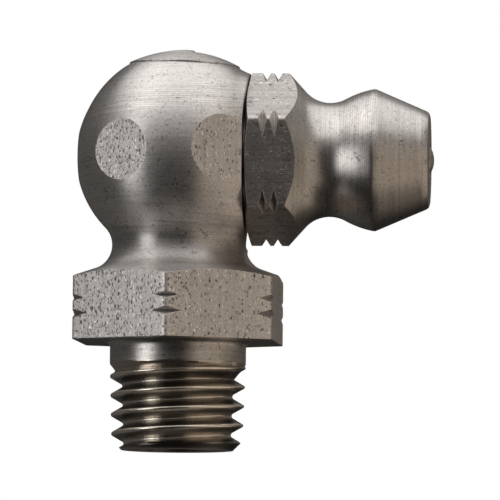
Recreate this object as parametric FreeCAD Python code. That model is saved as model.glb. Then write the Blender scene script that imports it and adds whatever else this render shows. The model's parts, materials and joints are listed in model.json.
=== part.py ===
"""Angled grease fitting, 90 degrees, 1/4-28 taper thread. Millimetres.

Origin: on the thread's axis, in the plane of the hex's underside.
+Z runs up through the ball of the elbow, and +X along the grease head.
"""
import FreeCAD, Part

import os
from math import atan, ceil, cos, degrees, pi, radians, sin, sqrt, tan

# Elbow body, turned from hexagon bar. Heights are measured from the hex's underside.
hex_across_flats = 9.44
hex_height = 3.20            # at the middle of a flat
hex_top_slope = 19.0         # degrees below level, on the turned top
hex_turn = 2.3               # degrees, how far the bar stands off square to the head
ball_radius = 4.95
ball_height = 8.90           # centre of the ball
waist_fillet = 1.19          # between the ball and the hex's top

# Parting-off dome on top of the ball
dome_rim_radius = 2.64
dome_rim_step = 0.08
dome_radius = 5.70
pip_radius = 0.47
pip_height = 0.09

# V grooves turned round the hex, which reach only its corners
body_groove_heights = (1.19, 1.93)
body_groove_depths = (0.37, 0.30)
groove_flank = 32.0          # degrees, each side of the V

# Shank and taper thread, below the hex. The thread is 1/4-28 and right-handed.
shank_radius = 3.22          # the thread's crests start from it
shank_length = 1.05
shank_relief = 0.20          # 45 degree corner under the hex
thread_length = 4.06
thread_pitch = 25.4 / 28
thread_taper = 1 / 16        # on the diameter
thread_crest_flat = 0.09
thread_root_flat = 0.14
thread_flank = 30.0          # degrees, each side of the groove
thread_first_crest = 0.60    # below the shank, on the side away from the head
thread_run_out = 39.0        # degrees from the axis, of the cone where the groove ends
thread_end_chamfer = 0.45
passage_radius = 1.35

# Side bore that takes the head, drilled from a spot face
spot_face_out = 3.27         # from the body's axis
spot_facer_margin = 0.12
side_bore_radius = 2.40
side_bore_drop = 0.20        # its axis, below the ball's centre
side_bore_past_axis = 1.60
drill_point = 118.0          # degrees, whole angle

# Grease head. Lengths run forward from the rear face of its hex collar.
collar_gap = 0.08            # left between the spot face and the collar
collar_across_flats = 7.14
collar_turn = 6.5            # degrees, how far its front flat faces below level
collar_length = 1.87         # at the corners
collar_rear_radius = 3.50
collar_rear_slope = 25.0     # degrees from the rear face
collar_front_slope = 48.0    # degrees from the axis
collar_groove_places = (0.80, 1.35)
collar_groove_depth = 0.28
neck_radius = 2.70
neck_arc = 1.55
rim_radius = 3.36
rim_place = 5.82
rim_land = 0.12
rim_back_arc = 4.60
nose_slope = 23.3            # degrees from the axis
nose_place = 8.50            # end face
nose_break = 0.16            # along the end face, at the nose's edge
plug_length = 1.90           # ends clear of the passage
plug_lead = 0.20

# Bore of the head, with the seat for the check ball and the crimped lip behind the spring
head_bore_radius = 1.40
tip_hole_radius = 0.78
seat_slope = 45.0            # degrees from the axis
lip_radius = 0.95
lip_thickness = 0.25

# Check ball, 3/32 inch, and its spring
check_ball_radius = 2.381 / 2
ball_proud = 0.20            # in front of the end face
touch_clearance = 0.01
spring_mean_radius = 1.05
spring_wire = 0.30
spring_open_turns = 5
spring_wire_sides = 4
spring_closed_gap = 0.015
ball_travel = 1.00

# Places that follow from the sizes above
across_corners = 1 / cos(pi / 6)
thread_end = -shank_length - thread_length
head_height = ball_height - side_bore_drop
collar_out = spot_face_out + collar_gap
ball_place = nose_place + ball_proud - check_ball_radius
X = FreeCAD.Vector(1, 0, 0)
Y = FreeCAD.Vector(0, 1, 0)
Z = FreeCAD.Vector(0, 0, 1)


def point(radius, along):
    """A point of a profile that is turned about Z."""
    return FreeCAD.Vector(radius, 0, along)


def line(start, end):
    return Part.LineSegment(start, end).toShape()


def arc(start, end, centre, bulge):
    """The arc about centre from start to end, on the side that bulge points to."""
    middle = centre + bulge.normalize() * (start - centre).Length
    return Part.Arc(start, middle, end).toShape()


def short_arc(start, end, centre):
    return arc(start, end, centre, (start + end) * 0.5 - centre)


def turned(edges):
    """The solid that a closed half profile makes when it is turned about Z."""
    face = Part.Face(Part.Wire(edges))
    return face.revolve(point(0, 0), Z, 360)


def turned_outline(corners):
    closed = corners + corners[:1]
    return turned([line(a, b) for a, b in zip(closed, closed[1:])])


def rod(radius, start, end):
    return Part.makeCylinder(radius, end - start, point(0, start))


def hex_bar(across_flats, start, end):
    """Hexagon bar along Z with two corners on the Y axis."""
    corner = across_flats / 2 * across_corners
    ring = [FreeCAD.Vector(corner * cos(a), corner * sin(a), start)
            for a in (radians(30 + 60 * k) for k in range(7))]
    return Part.Face(Part.makePolygon(ring)).extrude(Z * (end - start))


def corner_groove(across_flats, depth, place):
    """A turned V groove whose bottom lies depth inside the hex's corners."""
    bottom = across_flats / 2 * across_corners - depth
    mouth = bottom + 2 * depth
    half = (mouth - bottom) * tan(radians(groove_flank))
    return turned_outline([point(bottom, place), point(mouth, place + half),
                           point(mouth, place - half)])


def meeting(first, first_reach, second, second_reach):
    """The point at the given distances from two others, on the side away from the axis."""
    gap = second - first
    along = (gap.Length ** 2 + first_reach ** 2 - second_reach ** 2) / (2 * gap.Length)
    off = sqrt(first_reach ** 2 - along ** 2)
    unit = gap / gap.Length
    sides = [first + unit * along + FreeCAD.Vector(unit.z, 0, -unit.x) * s * off for s in (1, -1)]
    return min(sides, key=lambda p: p.x)


def body_envelope():
    """The turned form of the elbow: blank of the thread, shank, hex top, waist, ball and dome."""
    blank_end = shank_radius - thread_length * thread_taper / 2
    outside = hex_across_flats
    slope = radians(hex_top_slope)
    normal = FreeCAD.Vector(sin(slope), 0, cos(slope))
    down = FreeCAD.Vector(cos(slope), 0, -sin(slope))
    shoulder = point(hex_across_flats / 2, hex_height)
    ball = point(0, ball_height)
    above = (ball - shoulder).dot(normal) - waist_fillet
    reach = sqrt((ball_radius + waist_fillet) ** 2 - above ** 2)
    waist = ball - normal * above + down * reach
    on_ball = ball + (waist - ball).normalize() * ball_radius
    on_top = waist - normal * waist_fillet
    corner = shoulder + down * ((outside - shoulder.x) / down.x)

    rim = point(dome_rim_radius, ball_height + sqrt(ball_radius ** 2 - dome_rim_radius ** 2))
    step = rim + Z * dome_rim_step
    dome = point(0, step.z - sqrt(dome_radius ** 2 - dome_rim_radius ** 2))
    pip_foot = dome + point(pip_radius, sqrt(dome_radius ** 2 - pip_radius ** 2))
    pip_top = dome.z + dome_radius + pip_height

    chamfer_start = thread_end + thread_end_chamfer
    chamfer_radius = blank_end + thread_end_chamfer * thread_taper / 2
    print("waist radius", round(waist.x - waist_fillet, 3), "top", round(pip_top, 3))
    return turned([
        line(point(0, thread_end), point(chamfer_radius - thread_end_chamfer, thread_end)),
        line(point(chamfer_radius - thread_end_chamfer, thread_end),
             point(chamfer_radius, chamfer_start)),
        line(point(chamfer_radius, chamfer_start), point(shank_radius, -shank_length)),
        line(point(shank_radius, -shank_length), point(shank_radius, -shank_relief)),
        line(point(shank_radius, -shank_relief), point(shank_radius + shank_relief, 0)),
        line(point(shank_radius + shank_relief, 0), point(outside, 0)),
        line(point(outside, 0), corner),
        line(corner, on_top),
        short_arc(on_top, on_ball, waist),
        arc(on_ball, rim, ball, X),
        line(rim, step),
        short_arc(step, pip_foot, dome),
        line(pip_foot, point(pip_radius, pip_top)),
        line(point(pip_radius, pip_top), point(0, pip_top)),
        line(point(0, pip_top), point(0, thread_end)),
    ])


def thread_groove():
    """The helical groove of the thread, which runs out on a cone under the shank."""
    flank = tan(radians(thread_flank))
    depth = (thread_pitch - thread_crest_flat - thread_root_flat) / 2 / flank
    above_crest = thread_crest_flat / 4 / flank
    root = thread_root_flat / 2
    mouth = root + (depth + above_crest) * flank

    first = -shank_length - thread_first_crest
    start = first - thread_pitch * ceil((first - thread_end + mouth) / thread_pitch)
    bottom = shank_radius + (start + shank_length) * thread_taper / 2 - depth
    outer = bottom + depth + above_crest
    helix = Part.makeHelix(thread_pitch, 2 * mouth - shank_length - start, bottom,
                           degrees(atan(thread_taper / 2)))
    helix.translate(Z * start)
    section = [point(bottom, start - root), point(outer, start - mouth),
               point(outer, start + mouth), point(bottom, start + root)]
    groove = Part.Wire(helix.Edges).makePipeShell([Part.makePolygon(section + section[:1])], True, True)

    deep = 2 * depth
    cone_end = -shank_length - deep / tan(radians(thread_run_out))
    beyond = shank_radius + 1
    above = 4 * mouth - shank_length
    return groove.cut(turned_outline([
        point(0, cone_end), point(shank_radius - deep, cone_end), point(shank_radius, -shank_length),
        point(beyond, -shank_length), point(beyond, above), point(0, above)]))


def along_head(shape):
    """Lays a shape made about Z along the head's axis, with its zero at the collar's rear."""
    laid = shape.copy()
    laid.rotate(point(0, 0), Y, 90)
    laid.translate(FreeCAD.Vector(collar_out, 0, head_height))
    return laid


def side_bore():
    """Spot face, bore and drill point, from the side of the ball to past the passage."""
    facer = sqrt(ball_radius ** 2 - spot_face_out ** 2) + side_bore_drop + spot_facer_margin
    floor = -side_bore_past_axis
    tip = floor - side_bore_radius / tan(radians(drill_point / 2))
    outline = [point(0, tip), point(side_bore_radius, floor), point(side_bore_radius, spot_face_out),
               point(facer, spot_face_out), point(facer, ball_radius + 1),
               point(0, ball_radius + 1)]
    cutter = turned_outline([p - Z * collar_out for p in outline])
    return along_head(cutter)


def elbow_body():
    top = ball_height + 2 * ball_radius
    bar = hex_bar(hex_across_flats, thread_end - 1, top)
    bar.rotate(point(0, 0), Z, -hex_turn)
    body = bar.common(body_envelope())
    for depth, height in zip(body_groove_depths, body_groove_heights):
        body = body.cut(corner_groove(hex_across_flats, depth, height))
    passage = rod(passage_radius, thread_end - 1, head_height)
    return body.cut(side_bore()).cut(passage).cut(thread_groove())


def head_envelope():
    """The turned form of the grease head, about Z, from the plug to the end face."""
    rear = radians(collar_rear_slope)
    front = radians(collar_front_slope)
    nose = radians(nose_slope)
    corner = collar_across_flats / 2 * across_corners
    outside = corner + 1
    rear_edge = point(outside, (outside - collar_rear_radius) * tan(rear))
    front_edge = point(outside, collar_length - (outside - corner) / tan(front))

    side = FreeCAD.Vector(cos(front), 0, sin(front))
    neck_out = neck_radius + neck_arc
    neck_place = collar_length + (neck_arc - (neck_out - corner) * side.x) / side.z
    neck = point(neck_out, neck_place)
    on_collar = neck - side * neck_arc
    rim = point(rim_radius, rim_place)
    back = meeting(neck, neck_arc + rim_back_arc, rim, rim_back_arc)
    on_neck = neck + (back - neck).normalize() * neck_arc

    land = point(rim_radius, rim_place + rim_land)
    sharp = point(rim_radius - (nose_place - land.z) * tan(nose), nose_place)
    face_edge = sharp - point(nose_break, 0)
    on_nose = sharp + FreeCAD.Vector(sin(nose), 0, -cos(nose)) * nose_break
    print("neck place", round(neck_place, 3), "nose face radius", round(face_edge.x, 3))
    return turned([
        line(point(0, -plug_length), point(side_bore_radius - plug_lead, -plug_length)),
        line(point(side_bore_radius - plug_lead, -plug_length),
             point(side_bore_radius, plug_lead - plug_length)),
        line(point(side_bore_radius, plug_lead - plug_length), point(side_bore_radius, 0)),
        line(point(side_bore_radius, 0), point(collar_rear_radius, 0)),
        line(point(collar_rear_radius, 0), rear_edge),
        line(rear_edge, front_edge),
        line(front_edge, on_collar),
        arc(on_collar, on_neck, neck, -X),
        short_arc(on_neck, rim, back),
        line(rim, land),
        line(land, on_nose),
        line(on_nose, face_edge),
        line(face_edge, point(0, nose_place)),
        line(point(0, nose_place), point(0, -plug_length)),
    ])


def head_bore():
    """Lip hole, spring bore, ball seat and tip hole, turned about Z."""
    slope = radians(seat_slope)
    reach = check_ball_radius + touch_clearance

    def seat(radius):
        return ball_place + (reach - radius * cos(slope)) / sin(slope)

    return turned_outline([
        point(0, -plug_length - 1), point(lip_radius, -plug_length - 1),
        point(lip_radius, lip_thickness - plug_length),
        point(head_bore_radius, lip_thickness - plug_length),
        point(head_bore_radius, seat(head_bore_radius)),
        point(tip_hole_radius, seat(tip_hole_radius)),
        point(tip_hole_radius, nose_place + 1), point(0, nose_place + 1)])


def nipple_head():
    collar = hex_bar(collar_across_flats, 0, nose_place + 1)
    collar.rotate(point(0, 0), Z, 30 + collar_turn)
    plug = rod(collar_across_flats / 2, -plug_length - 1, 0)
    head = collar.fuse(plug).common(head_envelope())
    for place in collar_groove_places:
        head = head.cut(corner_groove(collar_across_flats, collar_groove_depth, place))
    return along_head(head.cut(head_bore()))


def check_ball():
    return along_head(Part.makeSphere(check_ball_radius, point(0, ball_place)))


def check_spring():
    """Compression spring with one closed turn at each end, its round wire drawn with flats."""
    hold = check_ball_radius + spring_wire / 2 + touch_clearance
    start = lip_thickness - plug_length + spring_wire / 2 + touch_clearance
    end = ball_place - sqrt(hold ** 2 - spring_mean_radius ** 2)
    closed_pitch = spring_wire + spring_closed_gap
    open_pitch = (end - start - 2 * closed_pitch) / spring_open_turns
    solid_length = (spring_open_turns + 2) * spring_wire
    print("open pitch", round(open_pitch, 3), "spare travel",
          round(end - start - solid_length - ball_travel, 3))
    edges = []
    height = start
    for pitch, turns in ((closed_pitch, 1), (open_pitch, spring_open_turns), (closed_pitch, 1)):
        run = Part.makeHelix(pitch, pitch * turns, spring_mean_radius)
        run.translate(Z * height)
        edges += run.Edges
        height += pitch * turns
    angles = [2 * pi * k / spring_wire_sides for k in range(spring_wire_sides)]
    section = [point(spring_mean_radius, start) + point(cos(a), sin(a)) * (spring_wire / 2)
               for a in angles]
    coil = Part.Wire(edges).makePipeShell([Part.makePolygon(section + section[:1])], True, True)
    return along_head(coil)


def lift_of(opening):
    """How far the ball must leave its seat for the gap there to match the given area."""
    seat_line = 2 * pi * check_ball_radius * cos(radians(seat_slope))
    return opening / (seat_line * sin(radians(seat_slope)))


parts = {
    "elbow_body": elbow_body(),
    "nipple_head": nipple_head(),
    "check_ball": check_ball(),
    "check_spring": check_spring(),
}

os.makedirs("parts", exist_ok=True)
for name, shape in parts.items():
    shape.exportStep("parts/" + name + ".step")
    box = shape.BoundBox
    print(name, len(shape.Solids), shape.isValid(), round(shape.Volume, 3),
          [round(v, 3) for v in (box.XMin, box.YMin, box.ZMin, box.XMax, box.YMax, box.ZMax)])

way_past = pi * (head_bore_radius ** 2 - check_ball_radius ** 2)
print("lift that opens the seat fully", round(lift_of(way_past), 3), "of", ball_travel)
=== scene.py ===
# %% [markdown]
# A right-angled grease fitting
#
# The real one is four pieces of steel: an elbow turned from hexagon bar, a grease head pressed into its
# side, and a ball and a spring inside the head. The solids give every size and place. This lesson gives the
# pieces the finish that the lathe, the drawing die and the thread die leave on them.

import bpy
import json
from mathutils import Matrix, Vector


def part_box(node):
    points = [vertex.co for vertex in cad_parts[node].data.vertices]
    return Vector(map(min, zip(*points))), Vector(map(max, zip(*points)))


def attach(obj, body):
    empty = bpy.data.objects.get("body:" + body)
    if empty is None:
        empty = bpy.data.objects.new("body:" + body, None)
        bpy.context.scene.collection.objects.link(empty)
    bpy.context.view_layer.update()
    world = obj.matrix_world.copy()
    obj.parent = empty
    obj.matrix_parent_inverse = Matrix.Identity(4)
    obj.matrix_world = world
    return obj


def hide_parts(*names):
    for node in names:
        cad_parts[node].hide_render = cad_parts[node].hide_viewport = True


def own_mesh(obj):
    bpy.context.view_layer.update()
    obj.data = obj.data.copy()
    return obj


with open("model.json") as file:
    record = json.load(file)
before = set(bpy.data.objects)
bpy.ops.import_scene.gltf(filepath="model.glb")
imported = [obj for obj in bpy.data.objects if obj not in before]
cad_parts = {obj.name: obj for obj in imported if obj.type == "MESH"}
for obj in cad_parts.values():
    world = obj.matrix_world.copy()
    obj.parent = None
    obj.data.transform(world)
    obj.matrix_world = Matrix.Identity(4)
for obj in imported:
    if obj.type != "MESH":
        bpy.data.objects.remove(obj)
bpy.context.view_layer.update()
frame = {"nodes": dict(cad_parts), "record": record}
print("solids:", sorted(frame["nodes"]))

# %% Tools used throughout
import json
from math import acos, asin, atan2, cos, degrees, hypot, pi, radians, sin, sqrt, tan

import bmesh
import bpy
import numpy as np
from mathutils import Matrix, Vector

MM = 0.001

# %% [markdown]
# Sizes
#
# The interfaces of the fitting are written in its record, so the sizes that they settle are read from there:
# the hex, the shank, the bore and the head. The others are the turning sizes of the drawing, in millimetres.

# %% Sizes that the interfaces settle
mounts = {mount["name"]: mount for mount in frame["record"]["mounts"]}
body_low, body_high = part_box("elbow_body")
head_low, head_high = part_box("nipple_head")

flat_place = mounts["wrench_flat_front"]["pos_m"]
hex_half = hypot(flat_place[0], flat_place[1]) / MM
hex_angle = atan2(flat_place[1], flat_place[0])
shank_radius = mounts["thread_shank"]["dims"]["r_mm"]
passage_radius = mounts["grease_outlet"]["dims"]["r_mm"]
rim_radius = mounts["coupler_head"]["dims"]["r_mm"]
head_height = mounts["coupler_head"]["pos_m"][2] / MM
rim_start = mounts["coupler_head"]["pos_m"][0] / MM - mounts["coupler_head"]["dims"]["length_mm"] / 2
thread_end = body_low.z / MM
top = body_high.z / MM
nose_end = head_high.x / MM
plug_end = head_low.x / MM
print("across flats", round(2 * hex_half, 3), "turned", round(degrees(hex_angle), 2), "degrees")
print("thread end", round(thread_end, 3), "top", round(top, 3), "nose", round(nose_end, 3))

# %% Turning sizes of the elbow
hex_height = 3.20
hex_top_slope = radians(19)
hex_corner_radius = 0.24
ball_radius = 4.95
ball_height = 8.90
waist_fillet = 1.19
dome_rim_radius = 2.64
dome_radius = 5.70
pip_height = 0.09
groove_heights = (1.19, 1.93)
groove_depths = (0.37, 0.30)
groove_flank = radians(32)
underside_fillet = 0.28
spot_face_out = 3.15
side_bore_radius = 2.40
side_bore_past_axis = 1.60
spot_facer_margin = 0.12
print("ball", 2 * ball_radius, "mm across, at", ball_height, "mm, over a hex of", hex_height, "mm")

# %% [markdown]
# How a turned piece is meshed
#
# A lathe spins an outline about an axis, and the mesh does the same: each point of the outline becomes a
# ring, and neighbouring rings are joined by quads. Arcs are stepped finely enough that no facet shows. Rings
# of zero radius fall together in one point when doubles are merged, which closes the end.

# %% Outlines made of points and arcs
COLUMNS = 256


def arc(centre, radius, start, end, steps):
    """Points on an arc in the (radius, along) plane, both ends included, angles in radians."""
    turns = np.linspace(start, end, steps + 1)
    return [(centre[0] + radius * cos(t), centre[1] + radius * sin(t)) for t in turns]


def stepped(start, end, steps):
    """Points on a straight run, without its first one."""
    return [tuple(np.array(start) + (np.array(end) - start) * k / steps) for k in range(1, steps + 1)]


def spin(outline, columns=COLUMNS):
    """Rings of points about Z, shaped (rings, columns, 3), from (radius, along) pairs."""
    turn = np.arange(columns) * 2 * pi / columns
    rows = np.array(outline)
    x = rows[:, :1] * np.cos(turn)
    y = rows[:, :1] * np.sin(turn)
    return np.stack([x, y, np.repeat(rows[:, 1:], columns, axis=1)], axis=2)


def joined(rows, columns, first, shift=0):
    """Quads between neighbouring rings. The last column meets the first one, shift rings further on."""
    quads = []
    for row in range(rows - 1 - shift):
        start = first + row * columns
        for column in range(columns - 1):
            low = start + column
            quads.append((low, low + 1, low + columns + 1, low + columns))
        low = start + columns - 1
        wrapped = start + shift * columns
        quads.append((low, wrapped, wrapped + columns, low + columns))
    return quads


# %% From rings to an object
MERGE_WITHIN = 0.0005


def mesh_object(name, points, faces, material_of_face, materials):
    """A closed mesh in metres from points in millimetres, with doubles merged and normals outward."""
    mesh = bpy.data.meshes.new(name)
    mesh.from_pydata((np.array(points) * MM).tolist(), [], faces)
    for material in materials:
        mesh.materials.append(material)
    mesh.polygons.foreach_set("material_index", material_of_face)
    tidy = bmesh.new()
    tidy.from_mesh(mesh)
    bmesh.ops.remove_doubles(tidy, verts=tidy.verts, dist=MERGE_WITHIN * MM)
    bmesh.ops.recalc_face_normals(tidy, faces=tidy.faces)
    open_edges = sum(1 for edge in tidy.edges if not edge.is_manifold)
    tidy.to_mesh(mesh)
    tidy.free()
    made = bpy.data.objects.new(name, mesh)
    bpy.context.scene.collection.objects.link(made)
    print(name, len(mesh.polygons), "faces,", open_edges, "open edges")
    return made


def lathe(name, outline, material, columns=COLUMNS):
    """A turned object about Z from one outline."""
    rings = spin(outline, columns)
    faces = joined(len(rings), columns, 0)
    return mesh_object(name, rings.reshape(-1, 3), faces, [0] * len(faces), [material])


# %% [markdown]
# Finishes
#
# Every surface is steel, and what tells the surfaces apart is how they were made. The lathe leaves fine
# rings, the drawing die leaves a pitted skin on the flats, the parting tool leaves a dull face on top, and
# the thread die leaves chatter, while the thread's crests and roots carry painted highlights. Each finish is
# a small set of nodes that work in millimetres on the piece's own coordinates, so the grain stays with the
# piece at any pose.

# %% Helpers for materials
QUARTER_TURN = 0.25     # so that a highlight is drawn out across the rings


def new_material(name, colour, roughness, anisotropic=0.0):
    """Bare steel, ready for its patterns."""
    material = bpy.data.materials.new(name)
    material.use_nodes = True
    shader = material.node_tree.nodes["Principled BSDF"]
    shader.inputs["Base Color"].default_value = (*colour, 1)
    shader.inputs["Metallic"].default_value = 1.0
    shader.inputs["Roughness"].default_value = roughness
    shader.inputs["Anisotropic"].default_value = anisotropic
    shader.inputs["Anisotropic Rotation"].default_value = QUARTER_TURN if anisotropic else 0.0
    return material


def node(tree, kind, inputs=(), **settings):
    """A new node. Inputs is a dict or a list of values or of other nodes' outputs."""
    made = tree.nodes.new("ShaderNode" + kind)
    for name, value in settings.items():
        setattr(made, name, value)
    pairs = inputs.items() if isinstance(inputs, dict) else enumerate(inputs)
    for name, value in pairs:
        if isinstance(value, bpy.types.NodeSocket):
            tree.links.new(value, made.inputs[name])
        elif value is not None:
            made.inputs[name].default_value = value
    return made


def maths(tree, operation, *values):
    """One sum with numbers."""
    return node(tree, "Math", values, operation=operation).outputs[0]


def vectors(tree, operation, *values):
    """One sum with vectors. The answer is a number where the sum gives one."""
    made = node(tree, "VectorMath", values, operation=operation)
    return made.outputs["Value" if operation in ("LENGTH", "DOT_PRODUCT") else "Vector"]


def remap(tree, value, low, high, to_low=0.0, to_high=1.0, smooth=True):
    """The value's share of the way from low to high, held at both ends, from to_low to to_high."""
    kind = "SMOOTHSTEP" if smooth else "LINEAR"
    return node(tree, "MapRange", [value, low, high, to_low, to_high], interpolation_type=kind).outputs[0]


def noise(tree, place, scale, detail=2.0, rough=0.5, wanted="Fac"):
    """Noise between 0 and 1. The scale is about how many lumps there are in a millimetre."""
    inputs = {"Vector": place, "Scale": scale, "Detail": detail, "Roughness": rough}
    return node(tree, "TexNoise", inputs).outputs[wanted]


def millimetres(tree):
    """The piece's own coordinates, in millimetres."""
    return scaled(tree, node(tree, "TexCoord").outputs["Object"], 1 / MM)


def scaled(tree, vector, factor):
    """A vector or a colour times a number."""
    return node(tree, "VectorMath", {0: vector, "Scale": factor}, operation="SCALE").outputs["Vector"]


def varied(tree, shade, pattern, gain, base):
    """The shade so far, times gain x pattern + base."""
    return maths(tree, "MULTIPLY", shade, maths(tree, "MULTIPLY_ADD", pattern, gain, base))


def without(tree, shade, mask):
    """The shade so far, darkened where the mask is up to 1."""
    return maths(tree, "MULTIPLY", shade, maths(tree, "SUBTRACT", 1.0, mask))


def from_axis(tree, place, axis):
    """Distance from the piece's axis, in millimetres."""
    return vectors(tree, "LENGTH", vectors(tree, "MULTIPLY", place, tuple(1.0 - a for a in axis)))


EDGE_RADIUS = 0.035


def rounded_edges(tree):
    """Normals that run smoothly over an edge, so that the edge catches a thin line of light."""
    return node(tree, "Bevel", {"Radius": EDGE_RADIUS * MM}, samples=6).outputs[0]


def finish_surface(material, colour, shade, roughness, height, depth, normal=None):
    """Links colour, roughness and bump. The depth of the bump is in millimetres."""
    tree = material.node_tree
    shader = tree.nodes["Principled BSDF"]
    tree.links.new(scaled(tree, colour, shade), shader.inputs["Base Color"])
    if roughness is not None:
        tree.links.new(roughness, shader.inputs["Roughness"])
    bump = node(tree, "Bump", {"Height": height, "Distance": depth * MM, "Strength": 1.0, "Normal": normal})
    tree.links.new(bump.outputs[0], shader.inputs["Normal"])


# %% [markdown]
# The turned finish
#
# A turning tool cuts one long spiral, so its marks are rings about the axis. Noise that is read at the
# distance from the axis and at the place along it, and hardly at the angle, gives such rings. They drive the
# bump, and a little of the colour and gloss. Here and there the tool's feed itself shows, as even lines.
# Handling leaves clouds, and dirt sits in specks that gather where a slow noise is high. Light spreads
# across the rings. The anisotropic setting gives that, with a tangent round the axis and a quarter turn,
# because a highlight is drawn out along its tangent.

# %% Marks of the turning tool
DOWN_BODY = (0.0, 0.0, 1.0)     # the axis that a finish is laid along
DOWN_HEAD = (1.0, 0.0, 0.0)
TOOL_FEED = 0.105               # how far the tool moved along in one turn
RING_DRIFT = 0.05               # how much of the angle the rings see, so that no ring is perfect


def turned_marks(tree, place, axis):
    """Where the rings are read, the place along the axis, and the tool's broad, fine and worn patterns."""
    along = vectors(tree, "DOT_PRODUCT", place, axis)
    rings = node(tree, "CombineXYZ", [from_axis(tree, place, axis), along, 0.0]).outputs[0]
    marks_at = vectors(tree, "ADD", rings, scaled(tree, place, RING_DRIFT))
    broad = noise(tree, marks_at, scale=2.2, detail=3.0, rough=0.6)
    fine = noise(tree, marks_at, scale=7.5, detail=3.0, rough=0.7)
    worn = remap(tree, noise(tree, marks_at, scale=0.9, detail=1.0), 0.42, 0.62, 0.35, 1.0)
    return marks_at, along, broad, fine, worn


def feed_lines(tree, marks_at, along):
    """Even lines at the tool's feed, in patches, between -1 and 1."""
    patches = remap(tree, noise(tree, marks_at, scale=0.6, detail=1.0), 0.50, 0.60)
    feed = maths(tree, "MULTIPLY", along, 2 * pi / TOOL_FEED)
    return maths(tree, "MULTIPLY", maths(tree, "SINE", feed), patches)


# %% Turned steel
def turned_steel(name, axis, colour, roughness, ring_depth=0.0024, mottle=0.22, spread=0.55, stain=0.35,
                 dirt_and_shade=None):
    """Turned steel. The optional darker band holds dirt and painted shade: its place along the axis, reach
    and depth.
    """
    material = new_material(name, colour, roughness, anisotropic=spread)
    tree = material.node_tree
    place = millimetres(tree)
    marks_at, along, broad, fine, worn = turned_marks(tree, place, axis)
    cloud = noise(tree, place, scale=0.9, detail=4.0, rough=0.6)
    grain = noise(tree, place, scale=9.0, detail=3.0, rough=0.7)
    blotch = noise(tree, place, scale=2.3, detail=5.0, rough=0.68)

    # Colour: score marks, broad rings, grain, clouds and feed lines, then dirt in specks and stains
    scored = maths(tree, "MULTIPLY", maths(tree, "SUBTRACT", fine, 0.5), worn)
    shade = maths(tree, "MULTIPLY_ADD", scored, 1.1, 1.0)
    shade = varied(tree, shade, broad, 0.24, 0.88)
    shade = varied(tree, shade, grain, 0.84, 0.58)
    shade = varied(tree, shade, cloud, mottle, 1.0 - mottle / 2)
    shade = varied(tree, shade, feed_lines(tree, marks_at, along), 0.11, 1.0)
    cluster = remap(tree, blotch, 0.50, 0.62, 0.0, 0.09)
    speck = remap(tree, maths(tree, "SUBTRACT", grain, cluster), 0.30, 0.36, 0.50, 1.0)
    shade = maths(tree, "MULTIPLY", shade, speck)
    shade = without(tree, shade, remap(tree, blotch, 0.60, 0.72, 0.0, stain))
    # A darker band along the axis: dirt, and painted shade in a crease
    if dirt_and_shade:
        middle, reach, deepest = dirt_and_shade
        away = maths(tree, "ABSOLUTE", maths(tree, "SUBTRACT", along, middle))
        shade = maths(tree, "MULTIPLY", shade, remap(tree, away, 0.0, reach, 1.0 - deepest, 1.0))

    # Gloss and height, from the same marks
    gloss = maths(tree, "MULTIPLY_ADD", cloud, 0.10, roughness - 0.05)
    gloss = maths(tree, "MULTIPLY_ADD", fine, 0.10, maths(tree, "SUBTRACT", gloss, 0.05))
    height = maths(tree, "ADD", maths(tree, "MULTIPLY", broad, 1.6), maths(tree, "MULTIPLY", fine, worn))
    height = maths(tree, "ADD", height, maths(tree, "MULTIPLY", grain, 0.35))
    finish_surface(material, colour, shade, gloss, height, ring_depth, rounded_edges(tree))
    round_axis = vectors(tree, "CROSS_PRODUCT", axis, place)
    tree.links.new(round_axis, tree.nodes["Principled BSDF"].inputs["Tangent"])
    return material


# %% The lathe's five finishes
# The colour is darker round the waist's crease: dirt, and painted shade
WAIST_DIRT_AND_SHADE = (4.7, 1.3, 0.26)
body_turned = turned_steel("turned_body", DOWN_BODY, (0.62, 0.591, 0.566), 0.40, spread=0.78,
                           dirt_and_shade=WAIST_DIRT_AND_SHADE)
head_turned = turned_steel("turned_head", DOWN_HEAD, (0.49, 0.464, 0.44), 0.34, spread=0.40)
# The shank's colour is darker than the body's turned steel: painted shade on the shank
shank_shaded_steel = turned_steel("turned_shank", DOWN_BODY, (0.48, 0.456, 0.432), 0.35, mottle=0.7, spread=0.20)
dome_parted = turned_steel("parted_dome", DOWN_BODY, (0.475, 0.454, 0.437), 0.52, ring_depth=0.003)
machined = turned_steel("spot_faced", DOWN_HEAD, (0.60, 0.572, 0.548), 0.34)
print("turned finishes:", [m.name for m in (body_turned, head_turned, shank_shaded_steel, dome_parted, machined)])

# %% [markdown]
# The drawn skin
#
# The flats were never cut. They are the skin of the hexagon bar, which the drawing die left grey and pitted,
# with each pit drawn out along the bar. Cells of a Voronoi pattern give the pits. The pattern is unrolled
# from the bar, in the distance round it and the distance along it, so that every flat is cut through the
# middle of its pits, and it is squeezed so that a pit is longer along the bar than it is wide. Bright specks
# are crystals that the die rubbed. The light line on the bar's corners is a painted highlight.

# %% Pits of the skin
PIT_STRETCH = 2.0     # how much longer a pit is than it is wide
PIT_DARKNESS = 0.72
PIT_DEPTH = 0.018
BAR_WOBBLE = 0.13
SMALL_PITS_ASIDE = (7.3, 2.9, 0.0)     # moves a pattern, so that it doesn't lie on the deep pits
SPECKS_ASIDE = (3.1, 8.7, 0.0)


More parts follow.
